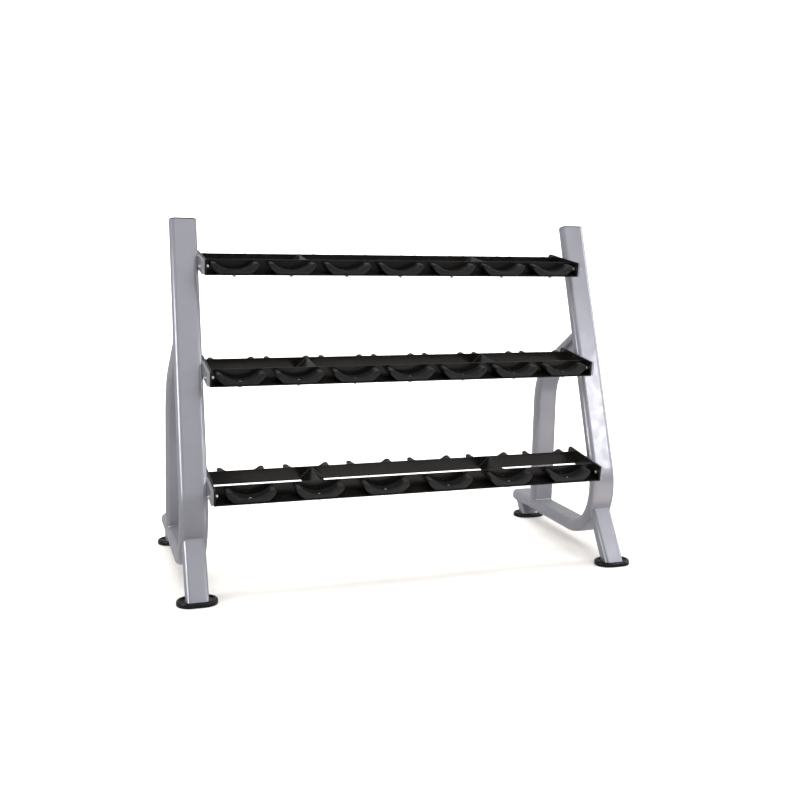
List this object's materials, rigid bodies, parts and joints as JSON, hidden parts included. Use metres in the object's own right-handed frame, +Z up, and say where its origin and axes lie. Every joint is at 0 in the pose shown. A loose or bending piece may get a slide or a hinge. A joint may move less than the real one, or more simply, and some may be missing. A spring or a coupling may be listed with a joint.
{
  "type": "dumbbell rack",
  "caption": "Tiered dumbbell rack: leaning bent-tube side frames with rear braces, tilted trays, and rows of curved saddles that cradle the dumbbells by their heads.",
  "frame": {"origin": "on the floor at the middle of the footprint of the whole rack", "axes": "+X along the trays towards the right end as seen from the front, -Y towards the front where the dumbbells are taken off, +Z up"},
  "size_m": [1.742, 0.921, 1.3321],
  "materials": {
    "frame_paint": "gloss metallic silver-grey powder coat",
    "tray_paint": "gloss black powder coat",
    "saddle_plastic": "matte moulded dark grey plastic",
    "foot_rubber": "satin moulded black rubber",
    "cap_plastic": "satin black plastic"
  },
  "bodies": {
    "root": {"left_frame_tube": "frame_paint", "left_rear_brace": "frame_paint", "left_front_leg": "frame_paint", "left_rear_leg": "frame_paint", "left_front_pad": "foot_rubber", "left_rear_pad": "foot_rubber", "left_top_cap": "cap_plastic", "left_tail_cap": "cap_plastic", "right_frame_tube": "frame_paint", "right_rear_brace": "frame_paint", "right_front_leg": "frame_paint", "right_rear_leg": "frame_paint", "right_front_pad": "foot_rubber", "right_rear_pad": "foot_rubber", "right_top_cap": "cap_plastic", "right_tail_cap": "cap_plastic", "bottom_tray": "tray_paint", "middle_tray": "tray_paint", "top_tray": "tray_paint", "bottom_front_saddle_1": "saddle_plastic", "bottom_front_saddle_2": "saddle_plastic", "bottom_front_saddle_3": "saddle_plastic", "bottom_front_saddle_4": "saddle_plastic", "bottom_front_saddle_5": "saddle_plastic", "bottom_front_saddle_6": "saddle_plastic", "bottom_rear_saddle_1": "saddle_plastic", "bottom_rear_saddle_2": "saddle_plastic", "bottom_rear_saddle_3": "saddle_plastic", "bottom_rear_saddle_4": "saddle_plastic", "bottom_rear_saddle_5": "saddle_plastic", "bottom_rear_saddle_6": "saddle_plastic", "middle_front_saddle_1": "saddle_plastic", "middle_front_saddle_2": "saddle_plastic", "middle_front_saddle_3": "saddle_plastic", "middle_front_saddle_4": "saddle_plastic", "middle_front_saddle_5": "saddle_plastic", "middle_front_saddle_6": "saddle_plastic", "middle_front_saddle_7": "saddle_plastic", "middle_rear_saddle_1": "saddle_plastic", "middle_rear_saddle_2": "saddle_plastic", "middle_rear_saddle_3": "saddle_plastic", "middle_rear_saddle_4": "saddle_plastic", "middle_rear_saddle_5": "saddle_plastic", "middle_rear_saddle_6": "saddle_plastic", "middle_rear_saddle_7": "saddle_plastic", "top_front_saddle_1": "saddle_plastic", "top_front_saddle_2": "saddle_plastic", "top_front_saddle_3": "saddle_plastic", "top_front_saddle_4": "saddle_plastic", "top_front_saddle_5": "saddle_plastic", "top_front_saddle_6": "saddle_plastic", "top_front_saddle_7": "saddle_plastic", "top_rear_saddle_1": "saddle_plastic", "top_rear_saddle_2": "saddle_plastic", "top_rear_saddle_3": "saddle_plastic", "top_rear_saddle_4": "saddle_plastic", "top_rear_saddle_5": "saddle_plastic", "top_rear_saddle_6": "saddle_plastic", "top_rear_saddle_7": "saddle_plastic"}
  },
  "joints": []
}
